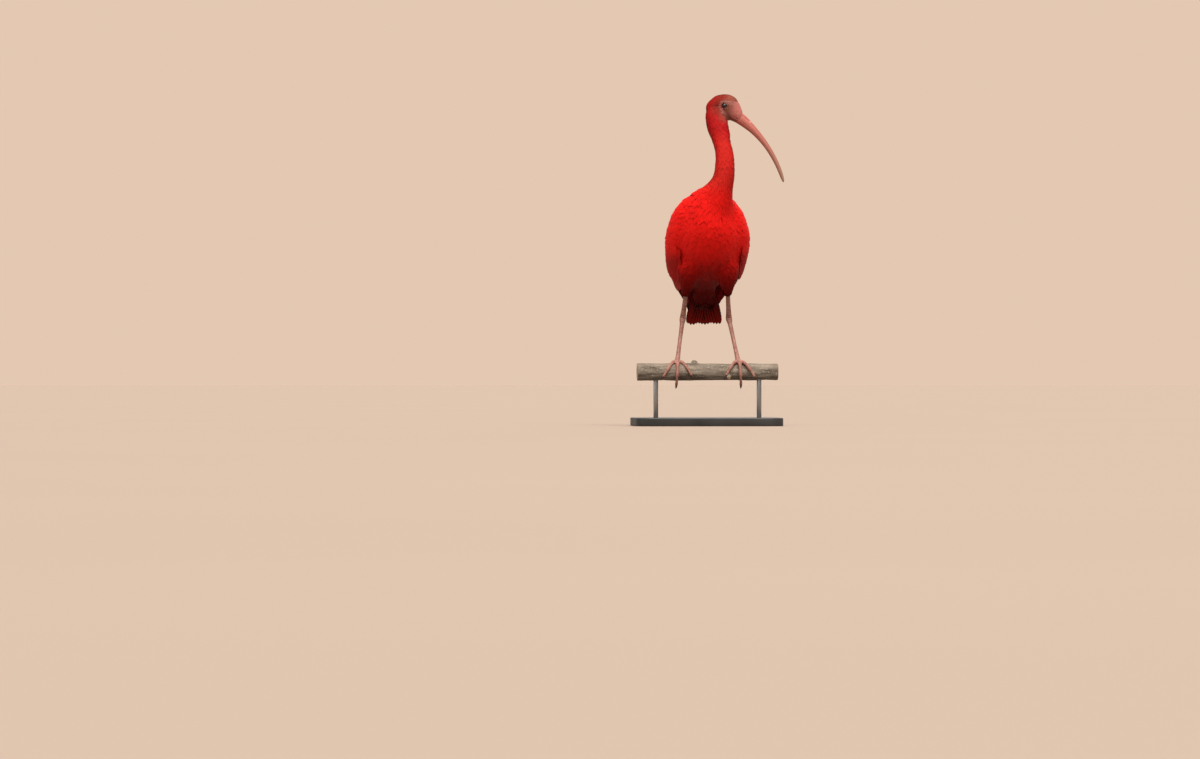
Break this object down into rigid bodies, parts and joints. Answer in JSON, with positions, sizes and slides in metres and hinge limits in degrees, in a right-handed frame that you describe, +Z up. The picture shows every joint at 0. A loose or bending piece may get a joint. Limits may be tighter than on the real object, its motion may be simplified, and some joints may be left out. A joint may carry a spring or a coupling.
{
  "type": "scarlet ibis on a display stand",
  "caption": "Life-size scarlet ibis standing on a cut length of branch, head turned to its left, held over a flat base by two rods.",
  "frame": {"origin": "centre of the base's underside", "axes": "+Z up, -Y the way the bird's breast faces, +X towards the bird's left side, the side its bill points to"},
  "size_m": [0.2503, 0.2329, 0.5616],
  "materials": {
    "plumage": "soft scarlet feathers, darker under the tail, black at the primary tips",
    "bare_leg": "dull pink scaled skin",
    "eye": "glossy very dark brown",
    "bill": "satin horn, salmon at the root and grey-brown at the tip",
    "bark": "rough grey-brown bark with bare cut ends",
    "stand_paint": "satin dark paint",
    "stand_metal": "brushed"
  },
  "bodies": {
    "root": {"head": "plumage", "neck": "plumage", "torso": "plumage", "tail": "plumage", "wing_left": "plumage", "wing_right": "plumage", "thigh_left": "plumage", "thigh_right": "plumage", "leg_left": "bare_leg", "leg_right": "bare_leg", "foot_left": "bare_leg", "foot_right": "bare_leg", "eye_left": "eye", "eye_right": "eye", "bill_upper": "bill", "bill_lower": "bill", "stand_branch": "bark", "stand_base": "stand_paint", "stand_rod_left": "stand_metal", "stand_rod_right": "stand_metal"}
  },
  "joints": []
}
